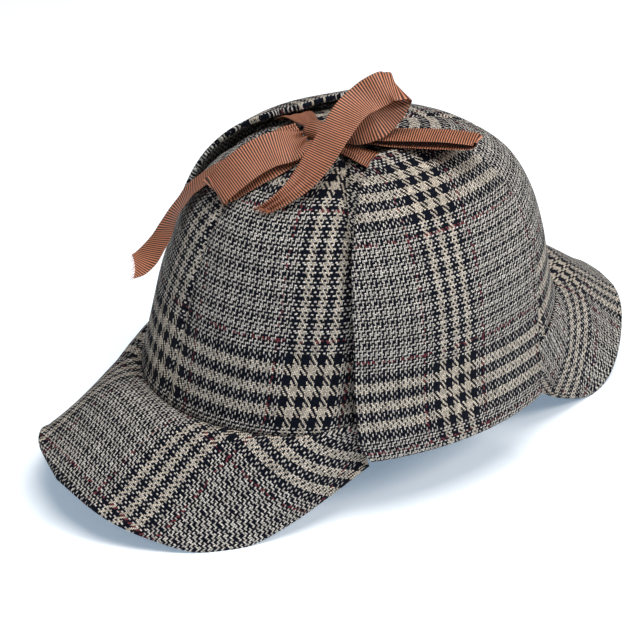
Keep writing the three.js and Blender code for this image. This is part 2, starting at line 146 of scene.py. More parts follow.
TAIL_FRONT = np.array([
    (-0.0015, -0.0305, 0.1650, 0.35, -10, -6),
    (-0.0030, -0.0355, 0.1640, 0.65, -12, -2),
    (-0.0045, -0.0415, 0.1620, 0.9, -14, 4),
    (-0.0065, -0.0480, 0.1595, 1, -16, 8),
    (-0.0095, -0.0550, 0.1555, 1, -18, 10),
    (-0.0140, -0.0610, 0.1510, 1, -18, 11),
    (-0.0195, -0.0670, 0.1455, 1, -18, 12),
    (-0.0240, -0.0720, 0.1400, 1, -18, 12),
    (-0.0270, -0.0760, 0.1355, 1, -17, 13),
    (-0.0285, -0.0795, 0.1305, 1, -17, 15),
    (-0.0290, -0.0840, 0.1255, 1, -14, 15),
    (-0.0280, -0.0890, 0.1200, 1, -9, 11),
    (-0.0260, -0.0940, 0.1158, 1, -6, 7),
    (-0.0240, -0.1000, 0.1122, 1, -6, 1),
    (-0.0220, -0.1060, 0.1097, 1, -6, -6),
    (-0.0210, -0.1120, 0.1085, 1, -9, -12),
    (-0.0205, -0.1175, 0.1085, 0.9, -11, -14),
])
TAIL_TOP = np.array([
    (0.0115, -0.0160, 0.1650, 0.45, -6, -40),
    (0.0175, -0.0135, 0.1670, 0.85, -3, -52),
    (0.0215, -0.0095, 0.1690, 1, -2, -56),
    (0.0245, -0.0030, 0.1715, 1, -2, -56),
    (0.0225, 0.0060, 0.1755, 1, 16, -48),
    (0.0203, 0.0115, 0.1799, 1, 23, -43),
    (0.0232, 0.0111, 0.1834, 1, 25, -41),
    (0.0253, 0.0085, 0.1858, 1, 29, -37),
    (0.0248, 0.0045, 0.1872, 1, 33, -33),
    (0.0240, 0.0005, 0.1872, 1, 35, -29),
    (0.0215, -0.0075, 0.1835, 1, 35, -22),
    (0.0225, -0.0175, 0.1795, 1, 28, -10),
    (0.0260, -0.0295, 0.1715, 1, 22, -4),
    (0.0285, -0.0400, 0.1630, 1, 18, -3),
    (0.0290, -0.0490, 0.1555, 0.85, 16, -4),
    (0.0275, -0.0580, 0.1490, 0.55, 14, -14),
    (0.0240, -0.0655, 0.1440, 0.35, 10, -40),
    (0.0215, -0.0690, 0.1415, 0.35, 6, -55),
])
KNOT = {"middle": mm(4, -23, 164), "half": mm(6, 6.5, 4.5), "yaw": math.radians(20), "ribs": 14}


# ---------------------------------------------------------------- camera and light

VIEW_AZIMUTH = math.radians(54)
VIEW_ELEVATION = math.radians(29)
VIEW_DISTANCE = 1.2
VIEW_TARGET = Vector((0, SET_BACK, 0.060))


def around(azimuth, elevation, distance, target=VIEW_TARGET):
    """The point at a distance from the target, azimuth round from -Y towards +X, elevation up."""
    level = math.cos(elevation)
    away = Vector((math.sin(azimuth) * level, -math.cos(azimuth) * level, math.sin(elevation)))
    return target + distance * away


def aim(thing, place, target=VIEW_TARGET):
    thing.location = place
    thing.rotation_euler = (target - place).to_track_quat("-Z", "Y").to_euler()


def link(thing):
    bpy.context.scene.collection.objects.link(thing)
    return thing


def make_camera():
    data = bpy.data.cameras.new("camera")
    data.lens = 135
    data.sensor_width = 36
    data.shift_x = -0.05
    data.shift_y = -0.0216
    data.clip_start = 0.01
    camera = link(bpy.data.objects.new("camera", data))
    aim(camera, around(VIEW_AZIMUTH, VIEW_ELEVATION, VIEW_DISTANCE))
    bpy.context.scene.camera = camera


def softbox(name, azimuth, elevation, distance, size, power, colour):
    """A square area light turned to the hat."""
    data = bpy.data.lights.new(name, "AREA")
    data.size = size
    data.energy = power
    data.color = colour
    place = around(math.radians(azimuth), math.radians(elevation), distance)
    aim(link(bpy.data.objects.new(name, data)), place)


make_camera()


# ---------------------------------------------------------------- shapes

MERGE_WITHIN = 2e-6  # points closer than this are one
SLIVER = 1e-7  # edges shorter than this are taken out


def column(table, name, t):
    """Catmull-Rom through one column of a table, at places t from 0 to 1 along its rows."""
    values = table[name]
    place = np.clip(t, 0, 1) * (len(values) - 1)
    i = np.minimum(place.astype(int), len(values) - 2)
    f = place - i
    a, b, c, d = (values[np.clip(i + k, 0, len(values) - 1)] for k in (-1, 0, 1, 2))
    return b + 0.5 * f * (c - a + f * (2 * a - 5 * b + 4 * c - d + f * (3 * (b - c) + d - a)))


def smoothstep(x, low, high):
    """0 below low, 1 above high, and 3x^2 - 2x^3 of the way between."""
    f = np.clip((x - low) / (high - low), 0, 1)
    return f * f * (3 - 2 * f)


def unit(vectors):
    return vectors / np.maximum(np.linalg.norm(vectors, axis=-1, keepdims=True), 1e-12)


def rim_height(phi):
    """Height of the crown's edge, by the angle round from the front, alike on both sides."""
    turn = np.abs(np.arctan2(np.sin(phi), np.cos(phi))) / math.pi
    return column(RIM, "height", turn)


def crown_point(phi, t):
    """The crown's outer surface: half an ellipse in front and half behind, level by level, phi round from
    the front and t from the edge to the apex."""
    reach = np.where(np.cos(phi) > 0, column(CROWN, "front", t), column(CROWN, "back", t))
    rim = rim_height(phi)
    x = column(CROWN, "side", t) * np.sin(phi)
    y = SET_BACK - reach * np.cos(phi)
    z = rim + (APEX - rim) * column(CROWN, "rise", t)
    return np.stack(np.broadcast_arrays(x, y, z), axis=-1)


def normal_of(surface, u, v, du, dv):
    """Unit normals of surface(u, v) from central differences."""
    across = surface(u + du, v) - surface(u - du, v)
    along = surface(u, v + dv) - surface(u, v - dv)
    return unit(np.cross(across, along))


def run_along(points, axis):
    """Length run along one axis of a grid of points, from 0."""
    steps = np.linalg.norm(np.diff(points, axis=axis), axis=-1)
    start = np.zeros_like(np.take(steps, [0], axis=axis))
    return np.concatenate([start, np.cumsum(steps, axis=axis)], axis=axis)


def soft_waves(points, size, seed):
    """A smooth uneven swell between about -1 and 1: the mean of eight plane sine waves whose lengths lie
    around size and whose directions and phases are drawn once."""
    draw = np.random.default_rng(seed)
    count = 8
    ways = unit(draw.normal(size=(count, 3))) * (2 * math.pi / size) * draw.uniform(0.6, 1.5, (count, 1))
    phases = draw.uniform(0, 2 * math.pi, count)
    return np.sin(points @ ways.T + phases).mean(axis=-1) * 1.8


def grid_faces(rows, cols, first, flip):
    """Quads of a grid of vertices that starts at number first."""
    i, j = np.meshgrid(np.arange(rows - 1), np.arange(cols - 1), indexing="ij")
    a = (first + i * cols + j).ravel()
    quads = np.stack([a, a + 1, a + cols + 1, a + cols], axis=1)
    return quads[:, ::-1] if flip else quads


def ring_of(rows, cols):
    """Vertex numbers round the border of a grid."""
    ids = np.arange(rows * cols).reshape(rows, cols)
    return np.concatenate([ids[0, :-1], ids[:-1, -1], ids[-1, :0:-1], ids[:0:-1, 0]])


def put_mesh(name, points, faces, cloth, material):
    """A closed mesh from points and faces: the cloth coordinates go into a UV map, points that coincide
    are merged, and faces are turned outwards."""
    mesh = bpy.data.meshes.new(name)
    mesh.from_pydata(points.tolist(), [], faces.tolist())
    corner = np.zeros(len(mesh.loops), np.int32)
    mesh.loops.foreach_get("vertex_index", corner)
    layer = mesh.uv_layers.new(name="cloth")
    layer.uv.foreach_set("vector", cloth[corner].astype(np.float32).ravel())
    work = bmesh.new()
    work.from_mesh(mesh)
    bmesh.ops.remove_doubles(work, verts=work.verts, dist=MERGE_WITHIN)
    bmesh.ops.dissolve_degenerate(work, dist=SLIVER, edges=work.edges)
    bmesh.ops.recalc_face_normals(work, faces=work.faces)
    work.to_mesh(mesh)
    work.free()
    mesh.shade_smooth()
    mesh.materials.append(material)
    return link(bpy.data.objects.new(name, mesh))


def wall(name, outer, inner, cloth, material):
    """A closed wall between two grids of points that share rows and columns and cloth coordinates."""
    rows, cols = outer.shape[:2]
    count = rows * cols
    border = ring_of(rows, cols)
    after = np.roll(border, -1)
    sides = np.stack([border, border + count, after + count, after], axis=1)
    faces = np.concatenate([grid_faces(rows, cols, 0, False), grid_faces(rows, cols, count, True), sides])
    points = np.concatenate([outer.reshape(-1, 3), inner.reshape(-1, 3)])
    return put_mesh(name, points, faces, np.tile(cloth.reshape(-1, 2), (2, 1)), material)


def fit(piece, slot, *nodes):
    """Ties a finished piece to the frame: it rides on the hat and stands for its nodes."""
    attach(piece, "root")
    if nodes:
        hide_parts(*nodes)
    return piece


# ---------------------------------------------------------------- materials

WARP_PITCH = 0.00063  # one thread of the check, across and along the cloth
WEFT_PITCH = 0.00086
STRIPE = 6  # threads in a stripe of the check
BAND = 7 * STRIPE  # dark and light stripes by turns, dark outside
GROUND = 84  # threads of fine ground between two bands
REPEAT = BAND + GROUND
WINE_AFTER = 6.5  # threads from a band's end to the middle of a wine pair
WINE_BEFORE = 8.5  # threads from the middle of a wine pair to the next band
WINE_REACH = 0.6  # threads each side of that middle
UNDYED = 0.45  # share of the wine threads' floats that stay the ground's colour
THREAD_WANDER = 1.1  # threads by which the weave strays from straight
RIB_PITCH = 0.00117  # one rib of the ribbon
WARP_IN_RIBBON = 0.00022  # one fine thread along the ribbon

CREAM = (0.62, 0.55, 0.46, 1)
ASH = (0.56, 0.53, 0.49, 1)
NAVY = (0.006, 0.008, 0.016, 1)
WINE = (0.15, 0.035, 0.045, 1)
RUST = (0.56, 0.215, 0.118, 1)
# Painted shade: a near-black colour for the ribbon's grooves, which are rust like the ribs.
GROOVE_SHADE = (0.012, 0.005, 0.003, 1)


class Wiring:
    """Adds nodes to a tree and joins them, giving back output sockets."""

    def __init__(self, tree):
        self.tree = tree

    def node(self, kind, **settings):
        made = self.tree.nodes.new(kind)
        for name, value in settings.items():
            setattr(made, name, value)
        return made

    def plug(self, socket, value):
        if isinstance(value, bpy.types.NodeSocket):
            self.tree.links.new(value, socket)
        else:
            socket.default_value = value

    def math(self, operation, *values):
        made = self.node("ShaderNodeMath", operation=operation)
        for socket, value in zip(made.inputs, values):
            self.plug(socket, value)
        return made.outputs[0]

    def mix(self, share, first, second):
        made = self.node("ShaderNodeMix", data_type="RGBA")
        self.plug(made.inputs["Factor"], share)
        self.plug(made.inputs[6], first)
        self.plug(made.inputs[7], second)
        return made.outputs[2]

    def blend(self, share, first, second):
        made = self.node("ShaderNodeMix", data_type="FLOAT")
        for socket, value in zip((made.inputs[0], made.inputs[2], made.inputs[3]), (share, first, second)):
            self.plug(socket, value)
        return made.outputs[0]

    def noise(self, vector, scale, detail=2.0):
        made = self.node("ShaderNodeTexNoise")
        self.plug(made.inputs["Vector"], vector)
        made.inputs["Scale"].default_value = scale
        made.inputs["Detail"].default_value = detail
        return made.outputs["Fac"]


def new_group(name, inputs, outputs):
    """A shader node group with named sockets, and its two end nodes."""
    tree = bpy.data.node_groups.new(name, "ShaderNodeTree")
    for label, kind in inputs:
        tree.interface.new_socket(name=label, in_out="INPUT", socket_type=kind)
    for label, kind in outputs:
        tree.interface.new_socket(name=label, in_out="OUTPUT", socket_type=kind)
    return tree, tree.nodes.new("NodeGroupInput"), tree.nodes.new("NodeGroupOutput")


def make_check_weave():
    """A glen check in a two-and-two twill. Threads are numbered by dividing the cloth coordinates by the
    pitch. The warp lies on top where the sum of both numbers, modulo four, is under two. A thread's colour
    goes by its place in the repeat: wide stripes in the band; dark and light by turns elsewhere, the order
    turned about after every stripe's width; and here and there a wine pair on each side of the band."""
    tree, start, end = new_group(
        "check_weave",
        [("Vector", "NodeSocketVector"), ("Warp Pitch", "NodeSocketFloat"), ("Weft Pitch", "NodeSocketFloat"),
         ("Light", "NodeSocketColor"), ("Fine Light", "NodeSocketColor"), ("Dark", "NodeSocketColor"),
         ("Accent", "NodeSocketColor")],
        [("Color", "NodeSocketColor"), ("Height", "NodeSocketFloat")],
    )
    w = Wiring(tree)
    split = w.node("ShaderNodeSeparateXYZ")
    w.plug(split.inputs[0], start.outputs["Vector"])
    wander = w.noise(start.outputs["Vector"], 320, 1)
    wander = w.math("MULTIPLY", w.math("SUBTRACT", wander, 0.5), THREAD_WANDER)
    u = w.math("ADD", w.math("DIVIDE", split.outputs[0], start.outputs["Warp Pitch"]), wander)
    v = w.math("ADD", w.math("DIVIDE", split.outputs[1], start.outputs["Weft Pitch"]), wander)
    i, j = w.math("FLOOR", u), w.math("FLOOR", v)
    fu, fv = w.math("FRACT", u), w.math("FRACT", v)
    total = w.math("ADD", i, j)
    step = w.math("FLOORED_MODULO", w.math("ADD", total, 1), 4)
    warp_up = w.math("LESS_THAN", step, 2)

    number = w.node("ShaderNodeCombineXYZ")
    w.plug(number.inputs[0], w.blend(warp_up, j, i))
    w.plug(number.inputs[1], w.math("FLOOR", w.math("DIVIDE", w.math("ADD", total, 1), 4)))
    w.plug(number.inputs[2], warp_up)
    chance = w.node("ShaderNodeTexWhiteNoise", noise_dimensions="3D")
    w.plug(chance.inputs["Vector"], number.outputs[0])
    dyed = w.math("GREATER_THAN", chance.outputs["Value"], UNDYED)

    def thread_colour(index):
        place = w.math("FLOORED_MODULO", index, REPEAT)
        in_band = w.math("LESS_THAN", place, BAND)
        band_dark = w.math("LESS_THAN", w.math("FLOORED_MODULO", place, 2 * STRIPE), STRIPE)
        turned = w.math("ADD", place, w.math("FLOOR", w.math("DIVIDE", place, STRIPE)))
        fine_dark = w.math("LESS_THAN", w.math("FLOORED_MODULO", turned, 2), 1)
        dark = w.blend(in_band, fine_dark, band_dark)
        light = w.mix(in_band, start.outputs["Fine Light"], start.outputs["Light"])
        plain = w.mix(dark, light, start.outputs["Dark"])
        after_band = w.math("COMPARE", place, BAND + WINE_AFTER, WINE_REACH)
        before_band = w.math("COMPARE", place, REPEAT - WINE_BEFORE, WINE_REACH)
        accent = w.math("MULTIPLY", w.math("ADD", after_band, before_band), dyed)
        return w.mix(accent, plain, start.outputs["Accent"])

    colour = w.mix(warp_up, thread_colour(j), thread_colour(i))
    across = w.blend(warp_up, fv, fu)
    along = w.blend(warp_up, w.math("ADD", w.math("SUBTRACT", step, 2), fu), w.math("ADD", step, fv))
    round_across = w.math("SINE", w.math("MULTIPLY", across, math.pi))
    round_along = w.math("SINE", w.math("MULTIPLY", along, math.pi / 2))
    height = w.math("MULTIPLY", round_across, w.math("ADD", w.math("MULTIPLY", round_along, 0.7), 0.3))

    # Random tone per float and in soft patches, and painted shade: the colour is lightest on each yarn's
    # crown and darkened towards its sides and the float's ends, where the yarns sink between each other.
    tone_and_shade = w.math("ADD", w.math("MULTIPLY", chance.outputs["Value"], 0.6), 0.6)
    tone_and_shade = w.math("MULTIPLY", tone_and_shade, w.math("ADD", height, 0.2))
    patch = w.noise(start.outputs["Vector"], 60, 3)
    tone_and_shade = w.math("MULTIPLY", tone_and_shade, w.math("ADD", w.math("MULTIPLY", patch, 0.3), 0.85))
    scaled = w.node("ShaderNodeVectorMath", operation="SCALE")
    w.plug(scaled.inputs[0], colour)
    w.plug(scaled.inputs["Scale"], tone_and_shade)
    w.plug(end.inputs["Color"], scaled.outputs[0])
    w.plug(end.inputs["Height"], height)
    return tree


def make_rib_weave():
    """Ribs across a ribbon: a sine along its length, with the fine warp threads as a shorter sine across."""
    tree, start, end = new_group(
        "rib_weave",
        [("Vector", "NodeSocketVector"), ("Rib Pitch", "NodeSocketFloat"),
         ("Rib", "NodeSocketColor"), ("Groove", "NodeSocketColor")],
        [("Color", "NodeSocketColor"), ("Height", "NodeSocketFloat")],
    )
    w = Wiring(tree)
    split = w.node("ShaderNodeSeparateXYZ")
    w.plug(split.inputs[0], start.outputs["Vector"])
    turn = w.math("MULTIPLY", w.math("DIVIDE", split.outputs[1], start.outputs["Rib Pitch"]), math.pi)
    rib = w.math("POWER", w.math("ABSOLUTE", w.math("SINE", turn)), 3.5)
    thread = w.math("SINE", w.math("MULTIPLY", split.outputs[0], 2 * math.pi / WARP_IN_RIBBON))
    height = w.math("ADD", rib, w.math("MULTIPLY", thread, 0.06))
    patch = w.noise(start.outputs["Vector"], 90, 3)
    tone = w.math("ADD", w.math("MULTIPLY", patch, 0.5), 0.75)
    scaled = w.node("ShaderNodeVectorMath", operation="SCALE")
    # Painted shade: the grooves between the ribs take the near-black groove colour.
    w.plug(scaled.inputs[0], w.mix(rib, start.outputs["Groove"], start.outputs["Rib"]))
    w.plug(scaled.inputs["Scale"], tone)
    w.plug(end.inputs["Color"], scaled.outputs[0])
    w.plug(end.inputs["Height"], height)
    return tree


def new_material(name):
    material = bpy.data.materials.new(name)
    material.use_nodes = True
    tree = material.node_tree
    return material, Wiring(tree), tree.nodes["Principled BSDF"]


def place_group(w, group, **values):
    made = w.node("ShaderNodeGroup", node_tree=group)
    for label, value in values.items():
        w.plug(made.inputs[label.replace("_", " ")], value)
    return made


def cloth_map(w):
    return w.node("ShaderNodeUVMap", uv_map="cloth").outputs["UV"]


def bump(w, shader, height, distance, strength):
    made = w.node("ShaderNodeBump")
    made.inputs["Strength"].default_value = strength
    made.inputs["Distance"].default_value = distance
    w.plug(made.inputs["Height"], height)
    w.plug(shader.inputs["Normal"], made.outputs["Normal"])


def make_tweed(group):
    material, w, shader = new_material("tweed_check")
    weave = place_group(w, group, Vector=cloth_map(w), Warp_Pitch=WARP_PITCH, Weft_Pitch=WEFT_PITCH,
                        Light=CREAM, Fine_Light=ASH, Dark=NAVY, Accent=WINE)
    w.plug(shader.inputs["Base Color"], weave.outputs["Color"])
    bump(w, shader, weave.outputs["Height"], 0.0003, 0.8)
    shader.inputs["Roughness"].default_value = 0.95
    shader.inputs["Specular IOR Level"].default_value = 0.04
    shader.inputs["Sheen Weight"].default_value = 0.02
    shader.inputs["Sheen Roughness"].default_value = 0.5
    return material


def make_ribbon(group):
    material, w, shader = new_material("rust_ribbon")
    weave = place_group(w, group, Vector=cloth_map(w), Rib_Pitch=RIB_PITCH, Rib=RUST, Groove=GROOVE_SHADE)
    w.plug(shader.inputs["Base Color"], weave.outputs["Color"])
    bump(w, shader, weave.outputs["Height"], 0.0001, 0.5)
    shader.inputs["Roughness"].default_value = 0.55
    shader.inputs["Specular IOR Level"].default_value = 0.35
    return material


def make_floor_material():
    material, w, shader = new_material("pale_floor")
    place = w.node("ShaderNodeTexCoord").outputs["Object"]
    grain = w.noise(place, 30, 4)
    w.plug(shader.inputs["Base Color"], w.mix(grain, (0.93, 0.94, 0.95, 1), (0.96, 0.96, 0.96, 1)))
    shader.inputs["Roughness"].default_value = 0.9
    # Painted light: the floor glows pale blue though it is no lamp, which lightens its shadows and tints them
    # blue.
    shader.inputs["Emission Color"].default_value = (0.55, 0.76, 1.0, 1)
    shader.inputs["Emission Strength"].default_value = 0.33
    return material


TWEED = make_tweed(make_check_weave())
RUST_RIBBON = make_ribbon(make_rib_weave())


# ---------------------------------------------------------------- ribbon

RIB_STEPS = 8  # points along one rib
RIBBON_COLS = 15
LINE_STEPS = 40  # points on a ribbon's line from row to row
PATH_POINTS = 60  # points on the path along a ribbon's middle that ribbon() gives back
GROOVE_HALF = 0.00016  # half the ribbon's thickness in a groove
RIB_HALF = 0.00011  # what a rib adds to it
RIB_PROUD = 0.0001  # how far a rib stands out at the ribbon's edge
DISH = 0.0004  # how far the ribbon is dished across
PLEAT = 0.0028  # depth of the pleats where it is gathered
FRAY = 0.0028  # length of the longest loose thread
FRAY_ROOT = 0.0008  # how far a loose thread starts inside the cut
FRAY_THREADS = 26
FRAY_RINGS = 9
FRAY_SIDES = 4
FRAY_RADIUS = 0.00016
FRAY_TAPER = 0.7  # share of its radius that a thread loses on the way to its tip


def ribbon_line(rows, run):
    """Middle, way across, face normal and width share of a ribbon at lengths run from its start: a
    Catmull-Rom line through the rows, read at equal lengths."""
    table = {k: rows[:, k] for k in range(6)}
    t = np.linspace(0, 1, (len(rows) - 1) * LINE_STEPS + 1)
    middle = np.stack([column(table, k, t) for k in range(3)], axis=-1)
    middle[:, 1] += SET_BACK
    width = column(table, 3, t)
    yaw, pitch = np.radians(column(table, 4, t)), np.radians(column(table, 5, t))
    across = np.stack([np.cos(yaw) * np.cos(pitch), np.sin(yaw) * np.cos(pitch), np.sin(pitch)], axis=-1)
    ahead = unit(np.gradient(middle, axis=0))
    across = unit(across - ahead * (across * ahead).sum(-1, keepdims=True))
    face = np.cross(ahead, across)
    length = run_along(middle, 0)

    def read(values):
        if values.ndim == 1:
            return np.interp(run, length, values)
        return np.stack([np.interp(run, length, values[:, k]) for k in range(3)], axis=-1)

    return read(middle), unit(read(across)), unit(read(face)), read(width), length[-1]


def ribbon(name, rows, slant=0.0):
    """A length of ribbon: a flat section with rounded edges, as thick as its ribs, carried along its rows.
    It is pleated where it is narrow, dished across, and cut aslant at its end. Its length is along its
    middle, to the middle of the cut."""
    length = ribbon_line(rows, np.zeros(1))[4]
    steps = int(length / RIB_PITCH * RIB_STEPS)
    b = np.sin(np.linspace(-math.pi / 2, math.pi / 2, RIBBON_COLS))[None, :]
    share = np.linspace(0, 1, steps + 1)[:, None]
    reach = length - abs(slant)
    run = reach * share + slant * b * smoothstep(share, 0.8, 1)
    middle, across, face, width, _ = ribbon_line(rows, run)
    rib = np.abs(np.sin(math.pi * run / RIB_PITCH)) ** 0.8
    half = RIBBON / 2 * width + RIB_PROUD * rib
    pleat = PLEAT * (1 - np.minimum(width, 1)) * np.cos(2.5 * math.pi * b)
    dish = DISH * (b * b - 0.4) + pleat
    thick = (GROOVE_HALF + RIB_HALF * rib) * np.sqrt(np.clip(1 - b**4, 0, 1))
    flat = middle + across * (b * half)[..., None] + face * dish[..., None]
    cloth = np.stack([b * RIBBON / 2 + 0 * run, run], axis=-1)
    outer = flat + face * thick[..., None]
    inner = flat - face * thick[..., None]
    piece = wall(name, outer, inner, cloth, RUST_RIBBON)
    path = ribbon_line(rows, np.linspace(0, reach, PATH_POINTS))[0]
    return piece, path, reach


def frayed_end(name, rows, slant, seed):
    """Loose threads at a ribbon's cut end: four-sided tubes side by side across it, each as long and as
    bent as chance has it, tapering to their tips."""
    chance = np.random.default_rng(seed)
    length = ribbon_line(rows, np.zeros(1))[4]
    b = np.linspace(-0.97, 0.97, FRAY_THREADS)
    start, across, face, width, _ = ribbon_line(rows, length - abs(slant) + slant * b - FRAY_ROOT)
    ahead = np.cross(across, face)
    start = start + across * (b * RIBBON / 2 * width)[:, None]
    reach = chance.uniform(0.4, 1, FRAY_THREADS) * FRAY
    side, lift = chance.normal(0, 0.45, (2, FRAY_THREADS))
    step = np.linspace(0, 1, FRAY_RINGS)[None, :, None]
    bend = across * side[:, None] + face * lift[:, None]
    run = step * (FRAY_ROOT + reach[:, None, None])
    line = start[:, None] + run * ahead[:, None] + step**2 * reach[:, None, None] * bend[:, None]
    radius = FRAY_RADIUS * (1 - FRAY_TAPER * step)
    ways = (across, face, -across, -face)
    points = np.stack([line + way[:, None] * radius for way in ways], axis=2).reshape(-1, 3)
    thread = np.arange(FRAY_THREADS)[:, None] * FRAY_RINGS * FRAY_SIDES
    ring = thread[..., None] + np.arange(FRAY_RINGS - 1)[None, :, None] * FRAY_SIDES
    corner = np.arange(FRAY_SIDES)
    after = (corner + 1) % FRAY_SIDES
    next_ring = ring + FRAY_SIDES
    sides = np.stack([ring + corner, ring + after, next_ring + after, next_ring + corner], axis=-1)
    tip = thread + (FRAY_RINGS - 1) * FRAY_SIDES
    faces = np.concatenate([sides.reshape(-1, 4), thread + corner[::-1], tip + corner])
    cloth = np.zeros((len(points), 2)) + RIB_PITCH / 2
    return put_mesh(name, points, faces, cloth, RUST_RIBBON)


def make_knot(name):
    """The ribbon wound once over the bow: a barrel, round in its winding and squared across."""
    turn = np.linspace(0, 2 * math.pi, 97)[:, None]
    lift = np.linspace(-math.pi / 2, math.pi / 2, 41)[None, :]
    level = np.sign(np.sin(lift)) * np.abs(np.sin(lift)) ** 0.7
    round_off = np.cos(lift) ** 0.45
    rib = 0.02 * np.abs(np.sin(turn * KNOT["ribs"])) * round_off
    pinch = 1 - 0.12 * np.cos(lift * 3) ** 2 * np.cos(turn * 2)
    x = level * KNOT["half"][0] + 0 * turn
    y = (round_off + rib) * pinch * np.cos(turn) * KNOT["half"][1] * 0.95
    z = (round_off + rib) * pinch * np.sin(turn) * KNOT["half"][2] * 0.95
    cos_yaw, sin_yaw = math.cos(KNOT["yaw"]), math.sin(KNOT["yaw"])
    points = np.stack([x * cos_yaw - y * sin_yaw, x * sin_yaw + y * cos_yaw, z], axis=-1)
    points = points + KNOT["middle"] + np.array([0, SET_BACK, 0])
    cloth = np.stack([x, turn * RIB_PITCH * KNOT["ribs"] / math.pi + 0 * lift], axis=-1)
    rows, cols = points.shape[:2]
    faces = grid_faces(rows, cols, 0, False)
    return put_mesh(name, points.reshape(-1, 3), faces, cloth.reshape(-1, 2), RUST_RIBBON)


def make_bow():
    knot = fit(make_knot("knot"), "ribbon", "bow_knot")
    tie_left, _, _ = ribbon("left_tie", TIE_LEFT)
    tie_right, _, _ = ribbon("right_tie", TIE_RIGHT)
    fit(tie_left, "ribbon", "tie_left")
    fit(tie_right, "ribbon", "tie_right")
    # Piece, node, rows, slant of the cut, seed of its loose threads, and the pieces that go with it
    tails = (
        ("top_tail", "bow_tail_top", TAIL_TOP, -0.003, 8, (knot, tie_left, tie_right)),
        ("front_tail", "bow_tail_front", TAIL_FRONT, 0.006, 10, ()),
    )
    for name, node, rows, slant, seed, others in tails:
        piece, path, length = ribbon(name, rows, slant)
        fit(piece, "ribbon", node)
        threads = fit(frayed_end(name + "_threads", rows, slant, seed), "ribbon")
    loops = (
        ("front_loop", "bow_loop_front", LOOP_FRONT),
        ("back_loop", "bow_loop_back", LOOP_BACK),
    )
    for name, node, rows in loops:
        piece, _, length = ribbon(name, rows)
        fit(piece, "ribbon", node)


make_bow()


# ---------------------------------------------------------------- crown

SEAM_DEPTH = 0.0013
SEAM_WIDTH = 0.0015
PANEL_SWELL = 0.0007
SWELL_REACH = 0.012  # how far from a seam the swell has mostly risen
PUCKER = 0.00022  # height of the puckers beside a seam
PUCKER_PITCH = 0.0085
PUCKER_REACH = 0.0045
HEM_DEPTH = 0.0009  # the sunk line where the crown meets a peak
HEM_WIDTH = 0.0013
CROWN_WAVE = 0.0006  # height of the soft waves
APEX_SINK = 0.0006  # how far the seams' meeting point is sunk
APEX_REACH = 0.06  # share of the way down over which the relief fades in from the apex
TUCK_DEPTH = 0.0030  # how far the crown is drawn in along an ear flap's edges
TUCK_WIDTH = 0.006
TUCK_ANGLE = math.pi / 3  # where those edges lie, round from the front and from the back
SINE_TO_ARC = 0.18  # length round the crown for one unit of the angle's sine, at the tucks

PANEL_CHECK = {
    "crown_front_left": mm(27.5, 25),
    "crown_side_left": mm(0, 25),
    "crown_back_left": mm(30, 25),
    "crown_back_right": mm(-30, 25),
    "crown_side_right": mm(0, 25),
    "crown_front_right": mm(31, 25),
}


def lay_check(across, along, band_middle, ease=(1, 1)):
    """Cloth coordinates with a band's middle at band_middle, and the cloth eased in by a factor each way."""
    u = (across - band_middle[0]) * ease[0] + BAND / 2 * WARP_PITCH
    v = (along - band_middle[1]) * ease[1] + BAND / 2 * WEFT_PITCH
    return np.stack([u, v], axis=-1)


def crown_panel(name, number):
    """One gore of the crown: the crown's surface between two seams, sunk along the seams and swollen
    between, with small puckers beside the seams, and drawn in along the ear flaps' edges. The wall's
    inner side has no relief but those tucks."""
    rows, cols = 112, 64
    t = np.linspace(0, 1, rows + 1)[:, None]
    width = 2 * math.pi / PANELS
    lean = np.sin(np.linspace(-math.pi / 2, math.pi / 2, cols + 1))[None, :]
    phi = (number + 0.5) * width + lean * width / 2
    base = crown_point(phi, t)
    normal = normal_of(crown_point, phi, np.clip(t, 0.004, 0.99), 0.01, 0.004)
    normal = unit(np.where(t[..., None] > 0.985, np.array([0, 0, 1.0]), normal))
    across = run_along(base, 1)
    across = across - across[:, cols // 2 : cols // 2 + 1]
    along = run_along(base, 0)[:, cols // 2 : cols // 2 + 1] + 0 * across
    edge = np.where(lean < 0, across - across[:, :1], across[:, -1:] - across)
    sunk = SEAM_DEPTH * np.exp(-((edge / SEAM_WIDTH) ** 2))
    swell = PANEL_SWELL * (1 - np.exp(-((edge / SWELL_REACH) ** 2)))
    stray = 3 * soft_waves(base, 0.02, 4)
    pucker = PUCKER * np.sin(2 * math.pi * along / PUCKER_PITCH + stray) * np.exp(-edge / PUCKER_REACH)
    hem = HEM_DEPTH * np.exp(-(((along - PEAK / 2) / HEM_WIDTH) ** 2))
    below_apex = smoothstep(1 - t, 0, APEX_REACH)
    relief = (swell - sunk - hem + pucker + CROWN_WAVE * soft_waves(base, 0.055, 7)) * below_apex
    relief = relief - APEX_SINK * (1 - below_apex)
    outer = base + normal * relief[..., None]
    inner = base - normal * CLOTH
    from_tuck = (np.abs(np.sin(phi)) - math.sin(TUCK_ANGLE)) * SINE_TO_ARC
    tuck = TUCK_DEPTH * np.exp(-((from_tuck / TUCK_WIDTH) ** 2))
    tuck = tuck * smoothstep(along, 0.0, 0.02) * smoothstep(1 - t, 0.1, 0.4)
    outer = outer - normal * tuck[..., None]
    inner = inner - normal * tuck[..., None]
    piece = wall(name, outer, inner, lay_check(across, along, PANEL_CHECK[name], (1, 0.98)), TWEED)
    return fit(piece, "tweed", name)


for number, name in enumerate(("crown_front_left", "crown_side_left", "crown_back_left", "crown_back_right",
                               "crown_side_right", "crown_front_right")):
    crown_panel(name, number)


# ---------------------------------------------------------------- peaks

LIP = 0.0003  # height of the lip along a peak's outer edge
LIP_IN = 0.0022  # from the edge in to the lip
GROOVE = 0.00025  # depth of the stitched groove behind the lip
GROOVE_IN = 0.0048
ROLL_WIDTH = 0.0012
PEAK_WAVE = 0.0004
PEAK_EASE = (1.13, 1.04)


